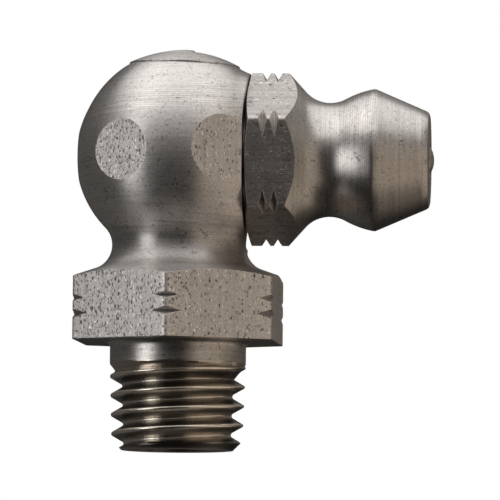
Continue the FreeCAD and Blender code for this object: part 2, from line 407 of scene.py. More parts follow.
def unrolled_bar(tree, place, axis, radius):
    """The bar's surface laid flat: the way round it and the way along it, with a slight wobble."""
    x, y, z = node(tree, "SeparateXYZ", [place]).outputs
    if axis == DOWN_BODY:
        turn, along = maths(tree, "ARCTAN2", y, x), z
    else:
        turn, along = maths(tree, "ARCTAN2", z, y), x
    wobble = scaled(tree, noise(tree, place, scale=6.0, wanted="Color"), BAR_WOBBLE)
    round_bar = maths(tree, "MULTIPLY", turn, radius)
    down_bar = maths(tree, "MULTIPLY", along, 1 / PIT_STRETCH)
    return vectors(tree, "ADD", node(tree, "CombineXYZ", [round_bar, down_bar, 0.0]).outputs[0], wobble)


def pits(tree, unrolled, scale, share, reach):
    """1 inside a pit. Only some cells of the pattern have one, and each has its own size."""
    cells = node(tree, "TexVoronoi", {"Vector": unrolled, "Scale": scale}, voronoi_dimensions="2D")
    chosen = node(tree, "SeparateColor", [cells.outputs["Color"]]).outputs[0]
    size = remap(tree, chosen, maths(tree, "SUBTRACT", 1.0, share), 1.0, 0.0, reach, smooth=False)
    return remap(tree, maths(tree, "SUBTRACT", size, cells.outputs["Distance"]), 0.0, 0.09)


# %% Drawn bar skin
def drawn_skin(name, axis, colour, roughness, radius, pit_share, thinned=0.0, lines=0.17, stain=0.2):
    """Skin of the bar, in a pattern unrolled from it. The pits thin out towards +X by the given share."""
    material = new_material(name, colour, roughness)
    tree = material.node_tree
    place = millimetres(tree)
    unrolled = unrolled_bar(tree, place, axis, radius)

    # Pits, rubbed specks, and a painted highlight along the corners
    x = node(tree, "SeparateXYZ", [place]).outputs[0]
    share = maths(tree, "MULTIPLY_ADD", remap(tree, x, -3.0, 3.0), -thinned, pit_share)
    deep = pits(tree, unrolled, 5.4, share, 0.27)
    small = pits(tree, vectors(tree, "ADD", unrolled, SMALL_PITS_ASIDE), 9.6, share, 0.42)
    pit = maths(tree, "MAXIMUM", deep, maths(tree, "MULTIPLY", small, 0.75))
    speck = pits(tree, vectors(tree, "ADD", unrolled, SPECKS_ASIDE), 7.3, 0.45, 0.30)
    corner = radius / cos(pi / 6)
    # Brighter colour near the corners: a painted highlight
    corner_highlight = remap(tree, from_axis(tree, place, axis), corner - 0.17, corner - 0.08)

    # Colour, with lines dragged along the bar, then gloss and height
    grain = noise(tree, place, scale=11.0, detail=3.0, rough=0.7)
    cloud = noise(tree, place, scale=1.1, detail=3.0, rough=0.6)
    dragged = vectors(tree, "MULTIPLY", unrolled, (4.6, 0.30, 1.0))
    drag = noise(tree, dragged, scale=1.0, detail=4.0, rough=0.7)
    blotch = noise(tree, place, scale=2.1, detail=5.0, rough=0.68)
    shade = maths(tree, "MULTIPLY_ADD", grain, 1.10, 0.45)
    shade = varied(tree, shade, drag, 4 * lines, 1.0 - 2 * lines)
    shade = without(tree, shade, remap(tree, blotch, 0.56, 0.70, 0.0, stain))
    shade = varied(tree, shade, cloud, 0.24, 0.88)
    shade = varied(tree, shade, speck, 0.60, 1.0)
    shade = varied(tree, shade, corner_highlight, 0.18, 1.0)
    shade = varied(tree, shade, pit, -PIT_DARKNESS, 1.0)
    gloss = maths(tree, "MULTIPLY_ADD", grain, 0.16, roughness - 0.08)
    height = maths(tree, "SUBTRACT", maths(tree, "MULTIPLY", grain, 0.5), maths(tree, "MULTIPLY", pit, 0.9))
    finish_surface(material, colour, shade, gloss, height, PIT_DEPTH, rounded_edges(tree))
    return material


# %% Skin of the two bars
body_skin = drawn_skin("drawn_skin_body", DOWN_BODY, (0.60, 0.567, 0.542), 0.46,
                       radius=hex_half, pit_share=0.90, thinned=0.52)
head_skin = drawn_skin("drawn_skin_head", DOWN_HEAD, (0.40, 0.377, 0.358), 0.44,
                       radius=3.6, pit_share=0.16, lines=0.26, stain=0.4)
print("skins:", body_skin.name, head_skin.name)

# %% [markdown]
# The cut thread
#
# A die cuts the thread. Its crests and roots are painted bright as highlights, and the flanks between them
# are painted dark as shade. The chatter of the die shows as short ticks round the groove under the shank,
# where the thread runs out.

# %% Cut thread
CHATTER_TICKS = 220     # round the shank
CHATTER_SLANT = 30.0
CHATTER_START = -1.36
CHATTER_FULL = -1.24


def cut_thread(name, colour, roughness):
    """Threaded steel: painted highlights on crests and roots, painted shade on the flanks, and chatter under
    the shank.
    """
    material = new_material(name, colour, roughness)
    tree = material.node_tree
    place = millimetres(tree)
    x, y, z = node(tree, "SeparateXYZ", [place]).outputs
    turn = maths(tree, "ARCTAN2", y, x)
    radial = from_axis(tree, place, DOWN_BODY)
    round_thread, down_thread = maths(tree, "MULTIPLY", turn, 12.0), maths(tree, "MULTIPLY", z, 0.8)
    ticks_at = node(tree, "CombineXYZ", [round_thread, down_thread, 0.0]).outputs[0]
    ticks = noise(tree, ticks_at, scale=1.6, rough=0.6)
    grain = noise(tree, place, scale=7.0, detail=4.0, rough=0.65)
    # Painted highlights on the crests and roots, and painted shade on the flanks between them
    root = remap(tree, radial, shank_radius - 0.66, shank_radius - 0.46, 1.0, 0.30)
    crest = remap(tree, radial, shank_radius - 0.30, shank_radius - 0.12, 0.30, 1.35)
    shade = varied(tree, maths(tree, "MAXIMUM", root, crest), grain, 0.4, 0.8)
    slant = maths(tree, "MULTIPLY", z, CHATTER_SLANT)
    chatter = maths(tree, "SINE", maths(tree, "MULTIPLY_ADD", turn, float(CHATTER_TICKS), slant))
    chatter = maths(tree, "MULTIPLY_ADD", chatter, 0.22, 0.42)
    under_shank = remap(tree, z, CHATTER_START, CHATTER_FULL)
    shade = without(tree, shade, maths(tree, "MULTIPLY", under_shank, chatter))
    height = maths(tree, "ADD", grain, maths(tree, "MULTIPLY", ticks, 1.5))
    finish_surface(material, colour, shade, None, height, 0.006)
    return material


# %% Thread, bore, ball and wire
thread_steel = cut_thread("cut_thread", (0.62, 0.565, 0.495), 0.24)
# The bore's steel is painted dark: painted shade inside the hole
bore_painted_shade = turned_steel("drilled_bore", DOWN_BODY, (0.20, 0.185, 0.17), 0.45, ring_depth=0.004)
ball_polished = turned_steel("polished_ball", DOWN_HEAD, (0.66, 0.61, 0.55), 0.30, ring_depth=0.0003,
                             mottle=0.2)
drawn_wire = turned_steel("drawn_wire", DOWN_HEAD, (0.50, 0.48, 0.46), 0.30, ring_depth=0.0008, mottle=0.3)
BODY_FINISHES = [body_turned, body_skin, thread_steel, dome_parted, machined, bore_painted_shade, shank_shaded_steel]
TURNED, THREAD, DOME, SHANK = (BODY_FINISHES.index(finish)
                               for finish in (body_turned, thread_steel, dome_parted, shank_shaded_steel))
print("the elbow has", len(BODY_FINISHES), "finishes")

# %% [markdown]
# The thread
#
# The thread is 1/4-28: 28 turns to the inch, right-handed, on a taper of 1 in 16. Its rings aren't level.
# Each column of points is shifted along by its share of the pitch, so that crest and root run along edges of
# the mesh, and the last column meets the first one a whole pitch further on. A crest that is cut off at
# either end is made by holding the points back at that height.

# %% One pitch of the thread
INCH = 25.4
pitch = INCH / 28
thread_taper = 1 / 16
thread_top = -0.98
taper_start = -1.05
crest_height_left = -1.65     # where a crest passes the -X side
crest_round = 0.085
root_round = 0.13
shoulder_top = -1.05
shoulder_slope = 0.80         # how fast the cone above the first turn goes in
end_chamfer = 0.45

sharp_height = pitch * sqrt(3) / 2
thread_depth = sharp_height - crest_round - root_round
crest_side = [(crest_round * sin(t), crest_round * (1 - cos(t))) for t in np.linspace(0, pi / 3, 4)]
root_side = [(pitch / 2 - root_round * sin(t), thread_depth - root_round * (1 - cos(t)))
             for t in np.linspace(pi / 3, 0, 6)]
flank = stepped(crest_side[-1], root_side[0], 3)[:-1]
half_form = crest_side + flank + root_side
form_along = np.array([along for along, _ in half_form])
form_depth = np.array([depth for _, depth in half_form])
print("thread depth", round(thread_depth, 3), "pitch", round(pitch, 3))


def thread_radius(turn, height):
    """Radius of the threaded surface, for arrays of angle and height."""
    crest = crest_height_left + (turn - pi) / (2 * pi) * pitch
    away = np.abs((height - crest + pitch / 2) % pitch - pitch / 2)
    depth = np.interp(away, form_along, form_depth)
    blank = shank_radius - np.clip(taper_start - height, 0, None) * thread_taper / 2
    shoulder = shank_radius - np.clip(shoulder_top - height, 0, None) * shoulder_slope
    end_radius = shank_radius - (taper_start - thread_end) * thread_taper / 2
    chamfer = end_radius - end_chamfer + (height - thread_end)
    return np.minimum(np.maximum(blank - depth, np.minimum(shoulder, blank)), chamfer)


# %% Rings of the thread
def thread_rings(columns=COLUMNS):
    """Rows that follow the helix from the end of the thread up to the shank. Returns them and their shift."""
    one_pitch = list(form_along[:-1]) + [pitch - s for s in form_along[:0:-1]]
    shift = len(one_pitch)
    turns = int((thread_top - thread_end) / pitch) + 4
    along = np.array([k * pitch + s for k in range(turns) for s in one_pitch])
    turn = np.arange(columns) * 2 * pi / columns
    crest = crest_height_left + (turn - pi) / (2 * pi) * pitch
    start = -(np.floor((crest[0] - thread_end) / pitch) + 2) * pitch
    height = np.clip(crest[None, :] + start + along[:, None], thread_end, thread_top)
    radius = thread_radius(np.broadcast_to(turn, height.shape), height)
    rings = np.stack([radius * np.cos(turn), radius * np.sin(turn), height], axis=2)
    return rings, shift


# %% [markdown]
# The elbow's outline
#
# Above the thread the elbow is one outline: shank, hex, cone, waist, ball, and the dome that was left when
# the piece was parted off. The waist is an arc that touches both the ball and the cone on the hex's top, so
# its centre is found from them. The two V grooves are cut so shallow that they reach only the corners of the
# hex.

# %% Outline from the shank to the dome
def waist_points():
    """Centre of the waist's arc, and where it starts on the cone and ends on the ball, as angles."""
    normal = np.array([sin(hex_top_slope), cos(hex_top_slope)])
    down = np.array([cos(hex_top_slope), -sin(hex_top_slope)])
    shoulder = np.array([hex_half, hex_height])
    ball = np.array([0.0, ball_height])
    above = (ball - shoulder) @ normal - waist_fillet
    reach = sqrt((ball_radius + waist_fillet) ** 2 - above ** 2)
    centre = ball - normal * above + down * reach
    on_cone = atan2(-normal[1], -normal[0])
    on_ball = atan2(*(ball - centre)[::-1])
    return centre, on_cone % (2 * pi), on_ball


GROOVE_MOUTH_OVER = 0.12     # how far outside the corners a groove's mouth lies


def v_groove(corner, depth, place, beyond):
    """A V groove in an outline that runs outside a hex, cut to the given depth below its corners."""
    mouth = corner + GROOVE_MOUTH_OVER
    half = (depth + GROOVE_MOUTH_OVER) * tan(groove_flank)
    return [(beyond, place - half), (mouth, place - half), (corner - depth, place), (mouth, place + half),
            (beyond, place + half)]


hex_corner = hex_half / cos(pi / 6)
outside = hex_corner + 0.5     # everything beyond the bar is cut away
waist_centre, cone_angle, ball_angle = waist_points()
print("waist radius", round(float(waist_centre[0]) - waist_fillet, 3))
dome_rim_height = ball_height + sqrt(ball_radius ** 2 - dome_rim_radius ** 2)
dome_centre = top - pip_height - dome_radius
dome_edge = dome_centre + sqrt(dome_radius ** 2 - dome_rim_radius ** 2)

outline = [(shank_radius, thread_top), (shank_radius, -underside_fillet)]
outline += arc((shank_radius + underside_fillet, -underside_fillet), underside_fillet, pi, pi / 2, 5)[1:]
outline += [(outside, 0.0)]
for height, depth in zip(groove_heights, groove_depths):
    outline += v_groove(hex_corner, depth, height, outside)
cone_end = (waist_centre[0] + waist_fillet * cos(cone_angle),
            waist_centre[1] + waist_fillet * sin(cone_angle))
cone_start = (outside, cone_end[1] - (outside - cone_end[0]) * tan(hex_top_slope))
outline += [cone_start] + stepped(cone_start, cone_end, 14)
outline += arc(waist_centre, waist_fillet, cone_angle, ball_angle, 26)[1:]
ball_start = ball_angle - pi
ball_end = acos(dome_rim_radius / ball_radius)
outline += arc((0.0, ball_height), ball_radius, ball_start, ball_end, 84)[1:]
dome_first = len(outline)
rim_step = 0.05          # the parting tool's small step round the dome
rim_sharpness = 0.02
outline += [(dome_rim_radius - rim_step, dome_rim_height - rim_sharpness),
            (dome_rim_radius - rim_sharpness, dome_edge)]
dome_turn = asin(dome_rim_radius / dome_radius)
outline += [(dome_radius * sin(t), dome_centre + dome_radius * cos(t))
            for t in np.linspace(dome_turn * 0.98, 0, 56)]
print("outline of", len(outline), "points")

# %% [markdown]
# Torn pip, burrs and the nick
#
# Three small things show that the piece came off an automatic lathe: the pip left on top when the last
# thread of metal tore, a ragged burr round the parted face, and the nick beside the waist where the spot
# facer stopped. The upper ball also leans a fifth of a millimetre towards the head. All are moves of the
# rings' points, each in one formula.

# %% Small irregularities
def ragged(turn, seed, terms=9):
    """A repeatable uneven wave round the axis, between about -1 and 1."""
    draw = np.random.default_rng(seed)
    waves = [(draw.integers(3, 60), draw.uniform(0, 2 * pi)) for _ in range(terms)]
    return sum(np.sin(count * turn + phase) for count, phase in waves) / sqrt(terms)


PIP_SLOPE = 2.2         # how far the pip slopes off to -X
PIP_BREAK = 0.46        # where it breaks off on the +X side
PIP_BREAK_WIDTH = 0.08
PIP_HALF_WIDTH = 0.75


def torn_pip(rings):
    """Raises the middle of the dome to a low pip that slopes off to -X and ends in a ragged arc to +X."""
    x, y = rings[..., 0], rings[..., 1]
    torn_edge = PIP_BREAK - 0.42 * y ** 2 + 0.06 * np.sin(9 * y)
    sloped = np.clip((x + PIP_SLOPE) / PIP_SLOPE, 0, 1) ** 1.5
    side = sloped * np.clip((torn_edge - x) / PIP_BREAK_WIDTH, 0, 1)
    rings[..., 2] += pip_height * side * np.exp(-(y / PIP_HALF_WIDTH) ** 2)


NICK_PLACE = 4.36
NICK_LIP = 0.07


def facer_nick(rings):
    """A small lip of metal at the waist, below the head."""
    x, y, z = rings[..., 0], rings[..., 1], rings[..., 2]
    under_head = x > 2.5
    rings[..., 0] += NICK_LIP * np.exp(-((z - NICK_PLACE) / 0.10) ** 2 - (y / 0.5) ** 2) * under_head


# %% Lean of the upper ball
LEAN_START = 8.6
LEAN = 0.20
TILT_START = 11.0
TILT_FULL = 13.0
DOME_TILT = 0.033       # rise per millimetre


def leaning(rings):
    """The upper ball leans a little towards the head, and the dome tilts with it."""
    share = np.clip((rings[..., 2] - LEAN_START) / (top - LEAN_START), 0, 1)
    tilted = np.clip((rings[..., 2] - TILT_START) / (TILT_FULL - TILT_START), 0, 1)
    rings[..., 2] -= DOME_TILT * rings[..., 0] * tilted
    rings[..., 0] += LEAN * share


# %% Rings above the thread
BURR_OUT = 0.010
BURR_UP = 0.016
BURR_OUT_SEED = 5
BURR_UP_SEED = 11
turned_rings = spin(outline)
turn = np.arange(COLUMNS) * 2 * pi / COLUMNS
edge_wave = ragged(turn, BURR_OUT_SEED)
for row, share in ((dome_first, 0.6), (dome_first + 1, 1.0), (dome_first + 2, 0.5)):
    grown = 1 + BURR_OUT * share * edge_wave / dome_rim_radius
    turned_rings[row, :, :2] *= grown[:, None]
    turned_rings[row, :, 2] += BURR_UP * share * ragged(turn, BURR_UP_SEED)
torn_pip(turned_rings[dome_first + 2:])
facer_nick(turned_rings)
leaning(turned_rings)
print("rings above the thread:", len(turned_rings))

# %% [markdown]
# Bar, bore and spot face
#
# The elbow was cut from hexagon bar, so what is left is what both the turned form and the bar hold: that is
# an intersection, and it makes the flats, the round flats on the ball and the arcs on top of the hex at one
# stroke. The passage and the side bore with its spot face are taken away after it. The exact solver keeps
# the curves where the surfaces meet as clean edges. Now and then it returned a head that was wrong, for the
# very same input that it had cut rightly before. So each cut is told the volume that a right one leaves, and
# it is made again when the volume is another. Where a size is changed, the volume that most tries print is
# the new one to write here.

# %% Turned blank of the elbow
screw_rings, helix_shift = thread_rings()
blank_rings = [np.broadcast_to([0.0, 0.0, thread_end], (1, COLUMNS, 3)), screw_rings, turned_rings]
points, faces, finish_of_face = [], [], []
for rings, shift in zip(blank_rings, (0, helix_shift, 0)):
    first = len(points)
    points += rings.reshape(-1, 3).tolist()
    made = joined(len(rings), COLUMNS, first, shift)
    faces += made
    finish_of_face += [THREAD if shift else TURNED] * len(made)
end_cap = joined(2, COLUMNS, 0)
faces += end_cap
finish_of_face += [DOME] * len(end_cap)
dome_height = dome_rim_height - 0.01     # just under the rim, so that the whole dome is above it
mean_height = np.array([np.mean([points[corner][2] for corner in face]) for face in faces])
finish_of_face = np.where(mean_height > dome_height, DOME, finish_of_face)
hex_underside = 0.001     # its place, 0, and a hair more
on_shank = (mean_height > thread_top) & (mean_height < hex_underside)
finish_of_face = np.where(on_shank, SHANK, finish_of_face)
elbow = mesh_object("elbow_dressed", points, faces, finish_of_face, BODY_FINISHES)


# %% Bar and cutters
def rounded_hex(name, half, angle, corner_radius, start, end, material):
    """Hexagon bar along Z with rounded corners, one flat facing the given angle."""
    corner = (half - corner_radius) / cos(pi / 6)
    ring = []
    for side in range(6):
        facing = angle + pi / 6 + side * pi / 3
        middle = (corner * cos(facing), corner * sin(facing))
        ring += arc(middle, corner_radius, facing - pi / 6, facing + pi / 6, 4)
    count = len(ring)
    points = [(x, y, z) for z in (start, end) for x, y in ring]
    faces = [(k, (k + 1) % count, count + (k + 1) % count, count + k) for k in range(count)]
    faces += [tuple(range(count))[::-1], tuple(range(count, 2 * count))]
    return mesh_object(name, points, faces, [0] * len(faces), [material])


def laid_along_head(made):
    """Turns an object made about Z so that Z becomes X, on the head's axis."""
    made.data.transform(Matrix.Translation((0, 0, head_height * MM)) @ Matrix.Rotation(pi / 2, 4, "Y"))
    return made


def volume(mesh):
    """Volume of a closed mesh in cubic millimetres."""
    work = bmesh.new()
    work.from_mesh(mesh)
    found = work.calc_volume(signed=True) / MM ** 3
    work.free()
    return found


# %% One cut
MOST_TRIES = 8
VOLUME_SLACK = 0.0002     # as a share of the volume


def cut(piece, cutter, operation, leaves):
    """Applies one exact Boolean and removes the cutter. Leaves is the volume that it should leave."""
    for _ in range(MOST_TRIES):
        modifier = piece.modifiers.new("cut", "BOOLEAN")
        modifier.object = cutter
        modifier.operation = operation
        modifier.solver = "EXACT"
        modifier.material_mode = "TRANSFER"
        evaluated = piece.evaluated_get(bpy.context.evaluated_depsgraph_get())
        result = bpy.data.meshes.new_from_object(evaluated)
        piece.modifiers.clear()
        left = volume(result)
        if abs(left - leaves) < leaves * VOLUME_SLACK:
            break
        print("the cut left", round(left, 2), "instead of", leaves, "and is made again")
    piece.data = result
    bpy.data.objects.remove(cutter)
    print(piece.name, operation.lower(), "leaves", len(result.polygons), "faces,", round(left, 3), "mm3")


# %% The three cuts of the elbow
DRILL_POINT = radians(118)
PASSAGE_CHAMFER = 0.12
BAR_LEAVES = 943.948          # cubic millimetres
FACER_LEAVES = 804.720
DRILL_LEAVES = 738.807
facer_radius = sqrt(ball_radius ** 2 - spot_face_out ** 2) + ball_height - head_height + spot_facer_margin
drill_tip = -side_bore_past_axis - side_bore_radius / tan(DRILL_POINT / 2)
bore_outline = [(0.0, drill_tip), (side_bore_radius, -side_bore_past_axis),
                (side_bore_radius, spot_face_out), (facer_radius, spot_face_out),
                (facer_radius, ball_radius + 1), (0.0, ball_radius + 1)]
mouth_radius = passage_radius + PASSAGE_CHAMFER
passage_outline = [(0.0, thread_end - 1), (mouth_radius, thread_end - 1), (mouth_radius, thread_end),
                   (passage_radius, thread_end + PASSAGE_CHAMFER), (passage_radius, head_height),
                   (0.0, head_height)]
bar = rounded_hex("bar", hex_half, hex_angle, hex_corner_radius, thread_end - 2, top + 2, body_skin)
cut(elbow, bar, "INTERSECT", BAR_LEAVES)
facer = laid_along_head(lathe("facer", bore_outline, machined, columns=192))
cut(elbow, facer, "DIFFERENCE", FACER_LEAVES)
drill = lathe("drill", passage_outline, bore_painted_shade, columns=96)
cut(elbow, drill, "DIFFERENCE", DRILL_LEAVES)

# %% Burr that the spot facer pushed up
FACER_BURR = 0.15
FACER_BURR_START = 1.0      # above the ball's middle
FACER_BURR_RISE = 2.65
FACER_BURR_WIDTH = 0.35
for vertex in elbow.data.vertices:
    x, height = vertex.co.x / MM, vertex.co.z / MM - ball_height
    pushed = max(height - FACER_BURR_START, 0.0) / FACER_BURR_RISE
    near_edge = min(max((x - spot_face_out + FACER_BURR_WIDTH) / FACER_BURR_WIDTH, 0.0), 1.0)
    vertex.co.x += FACER_BURR * MM * pushed ** 2 * near_edge ** 2
print("burr", FACER_BURR, "mm at the top of the spot face")


# %% Smooth shading with crisp edges
SHARP_FROM = radians(30)


def crisp(piece):
    """Smooth shading, with a sharp edge where the finish changes or the faces meet at a steep angle."""
    work = bmesh.new()
    work.from_mesh(piece.data)
    for face in work.faces:
        face.smooth = True
    for edge in work.edges:
        pair = edge.link_faces
        if len(pair) == 2:
            same = pair[0].material_index == pair[1].material_index
            edge.smooth = same and edge.calc_face_angle() < SHARP_FROM
    work.to_mesh(piece.data)
    work.free()
    print(piece.name, "finishes", [material.name for material in piece.data.materials])


crisp(elbow)
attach(elbow, "fitting")
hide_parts("elbow_body")

# %% [markdown]
# The grease head
#
# The head is turned from smaller hexagon bar: collar, concave neck, the widest ring that the coupler's jaws
# close behind, and the cone of the nose. It is hollow from end to end, so its outline is a closed loop:
# along the outside to the nose, in through the tip, past the seat of the ball and back to the crimped lip.
# It is made about Z and laid along the head's axis afterwards.

# %% Turning sizes of the head
collar_gap = 0.11
collar_half = 3.57
collar_turn = radians(6.5)
collar_corner_radius = 0.20
collar_length = 1.89
collar_rear_radius = 3.50
collar_rear_slope = radians(15)
collar_front_slope = radians(48)
collar_groove_places = (0.85, 1.40)
collar_groove_depth = 0.36
neck_radius = 2.70
neck_arc = 1.55
rim_land = mounts["coupler_head"]["dims"]["length_mm"]
rim_back_arc = 4.60
nose_slope = radians(23.3)
nose_break = 0.16
tip_hole_radius = 0.78
head_bore_radius = 1.40
seat_slope = radians(45)
lip_radius = 0.95
lip_thickness = 0.25
plug_lead = 0.20
collar_out = spot_face_out + collar_gap
check_ball_radius = 2.381 / 2
ball_proud = 0.20
plug_length = collar_out - plug_end
nose_place = nose_end - collar_out
rim_place = rim_start - collar_out
ball_place = nose_place + ball_proud - check_ball_radius
print("plug", round(plug_length, 3), "rim at", round(rim_place, 3), "nose at", round(nose_place, 3))


def seat_place(radius):
    """Where the seat's cone has the given radius, just clear of the resting ball."""
    reach = check_ball_radius + 0.01
    return ball_place + (reach - radius * cos(seat_slope)) / sin(seat_slope)


# %% Outline of the head
def head_outline():
    """The closed outline: from the plug along the outside to the nose, and back through the bore."""
    corner = collar_half / cos(pi / 6)
    beyond = corner + 0.25      # cut away by the bar
    side = np.array([cos(collar_front_slope), sin(collar_front_slope)])
    neck_out = neck_radius + neck_arc
    neck = np.array([neck_out, collar_length + (neck_arc - (neck_out - corner) * side[0]) / side[1]])
    rim = np.array([rim_radius, rim_place])
    gap = rim - neck
    apart = sqrt(gap @ gap)
    near = neck_arc + rim_back_arc
    along = (apart ** 2 + near ** 2 - rim_back_arc ** 2) / (2 * apart)
    unit = gap / apart
    inward = np.array([-unit[1], unit[0]])
    back = neck + unit * along + inward * sqrt(near ** 2 - along ** 2)
    to_neck = atan2(*(neck - back)[::-1])
    to_rim = atan2(*(rim - back)[::-1])

    outline = [(side_bore_radius - plug_lead, -plug_length), (side_bore_radius, plug_lead - plug_length),
               (side_bore_radius, 0.0), (collar_rear_radius, 0.0),
               (beyond, (beyond - collar_rear_radius) * tan(collar_rear_slope))]
    for place in collar_groove_places:
        outline += v_groove(corner, collar_groove_depth, place, beyond)
    front_edge = (beyond, collar_length - (beyond - corner) / tan(collar_front_slope))
    outline += [front_edge] + stepped(front_edge, tuple(neck - side * neck_arc), 8)
    outline += arc(neck, neck_arc, pi + collar_front_slope, to_neck + pi, 26)[1:]
    outline += arc(back, rim_back_arc, to_neck, to_rim, 18)[1:]

    land_end = rim_place + rim_land
    sharp_radius = rim_radius - (nose_place - land_end) * tan(nose_slope)
    on_cone = (sharp_radius + nose_break * sin(nose_slope), nose_place - nose_break * cos(nose_slope))
    outline += [(rim_radius, land_end)] + stepped((rim_radius, land_end), on_cone, 9)
    outline += [(sharp_radius - 0.15 * nose_break, nose_place - 0.28 * nose_break),
                (sharp_radius - nose_break, nose_place)]
    tip_edge = 0.04             # chamfer round the hole in the end face
    outline += [(tip_hole_radius + tip_edge, nose_place), (tip_hole_radius, nose_place - tip_edge),
                (tip_hole_radius, seat_place(tip_hole_radius)),
                (head_bore_radius, seat_place(head_bore_radius)),
                (head_bore_radius, lip_thickness - plug_length), (lip_radius, lip_thickness - plug_length),
                (lip_radius, -plug_length)]
    return outline + outline[:1]


# %% From outline to head
def about_head_axis(made):
    """Lays an object that was made about Z along the head's axis, with its own origin on that axis."""
    made.data.transform(Matrix.Translation((collar_out * MM, 0, 0)) @ Matrix.Rotation(pi / 2, 4, "Y"))
    made.location = (0, 0, head_height * MM)
    return made


head = lathe("grease_head", head_outline(), head_turned, columns=224)
collar_bar = rounded_hex("collar_bar", collar_half, collar_turn - pi / 2, collar_corner_radius,
                         -plug_length - 1, nose_place + 1, head_skin)
HEAD_LEAVES = 243.648
cut(head, collar_bar, "INTERSECT", HEAD_LEAVES)
about_head_axis(head)
crisp(head)
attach(head, "fitting")
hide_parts("nipple_head")

# %% [markdown]
# Ball and spring
#
# The ball is the solid's own sphere, and it only needs its polish. The spring is drawn again with round
# wire: a small circle is carried along a helix whose end turns lie closed.

# %% Helix of the spring
spring_mean_radius = 1.05
wire_radius = 0.15
touch = 0.01              # clearance at either end
closed_pitch = 0.315
open_turns = 5
spring_start = lip_thickness - plug_length + wire_radius + touch
spring_hold = check_ball_radius + wire_radius + touch
spring_end = ball_place - sqrt(spring_hold ** 2 - spring_mean_radius ** 2)
open_pitch = (spring_end - spring_start - 2 * closed_pitch) / open_turns

steps_per_turn = 36
wire_sides = 12
turns_made = np.arange((open_turns + 2) * steps_per_turn + 1) / steps_per_turn
coil_turn = turns_made * 2 * pi
coil_height = spring_start + np.interp(turns_made, [0, 1, 1 + open_turns, 2 + open_turns],
                                       np.cumsum([0, closed_pitch, open_pitch * open_turns, closed_pitch]))
wire_rings = []
for turn_now, height in zip(coil_turn, coil_height):
    outward = np.array([cos(turn_now), sin(turn_now), 0.0])
    ring_turn = np.arange(wire_sides) * 2 * pi / wire_sides
    ring = outward * (spring_mean_radius + wire_radius * np.cos(ring_turn))[:, None]
    ring[:, 2] = height + wire_radius * np.sin(ring_turn)
    wire_rings.append(ring)
wire_rings = np.array(wire_rings)
print("spring helix of", len(wire_rings), "rings, open pitch", round(open_pitch, 3))

# %% From wire to spring
wire_faces = joined(len(wire_rings), wire_sides, 0)
last = (len(wire_rings) - 1) * wire_sides
wire_faces += [tuple(range(wire_sides)), tuple(range(last, last + wire_sides))]
spring = mesh_object("valve_spring", wire_rings.reshape(-1, 3), wire_faces, [0] * len(wire_faces),
                     [drawn_wire])
about_head_axis(spring)
crisp(spring)
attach(spring, "fitting")
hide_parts("check_spring")
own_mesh(spring)

# %% Ball
ball = frame["nodes"]["check_ball"]
ball.data.materials.clear()
ball.data.materials.append(ball_polished)
print("ball finish:", ball_polished.name)

# %% [markdown]
# Camera
#
# The photograph was taken with a long lens, a little from the right and from below, so the edges of the hex
# run nearly parallel. The lens and the distance give the frame, and the camera is rolled by about half a
# degree.

# %% Where the camera stood
camera_azimuth = radians(3.6)
camera_elevation = radians(-4.2)
camera_roll = radians(0.6)
camera_distance = 330
camera_lens = 501.3
sensor_width = 36
nearest_seen = 0.01     # metres
aim_right = 3.31        # of the ball's centre, in the picture
aim_down = 4.50
print("camera", camera_distance, "mm away, lens", camera_lens, "mm")

# %% Camera
back_way = Vector((sin(camera_azimuth) * cos(camera_elevation), -cos(camera_azimuth) * cos(camera_elevation),
                   sin(camera_elevation)))
level_right = Vector((cos(camera_azimuth), sin(camera_azimuth), 0))
level_up = back_way.cross(level_right)
right = level_right * cos(camera_roll) + level_up * sin(camera_roll)
up = level_up * cos(camera_roll) - level_right * sin(camera_roll)
aim = Vector((0, 0, ball_height)) + right * aim_right - up * aim_down

camera = bpy.data.objects.new("camera", bpy.data.cameras.new("camera"))
camera.data.lens = camera_lens
camera.data.sensor_width = sensor_width
camera.data.clip_start = nearest_seen
facing = Matrix((right, up, back_way)).transposed().to_4x4()
camera.matrix_world = Matrix.Translation((aim + back_way * camera_distance) * MM) @ facing
bpy.context.scene.collection.objects.link(camera)
bpy.context.scene.camera = camera
print("camera at", [round(v / MM, 1) for v in camera.matrix_world.translation], "mm")

# %% [markdown]
# Studio
#
# Polished metal shows its surroundings more than its own colour. So the studio is what a photographer builds
# for it: one large softbox overhead, and black flags all round, which give the dark shapes that let the form
# be read. The flags are one closed tent that only reflections see. A bright strip on the left, a warm card
# on the right and a few dim glows are painted on it, by their direction from the ball. The floor lies below
# the tent, and floor and world are white to the camera.

# %% The overhead softbox
overhead_height = 200     # above the ball
overhead_place = Vector((-10, -25, ball_height + overhead_height))
overhead_side = 380
overhead_radiance = 1.12
overhead = bpy.data.objects.new("overhead", bpy.data.lights.new("overhead", "AREA"))
overhead.data.shape = "SQUARE"
overhead.data.size = overhead_side * MM
overhead.data.energy = overhead_radiance * pi * (overhead_side * MM) ** 2
overhead.location = overhead_place * MM
overhead.visible_camera = False
bpy.context.scene.collection.objects.link(overhead)
print("softbox", overhead_side, "mm square,", overhead_height, "mm over the ball")

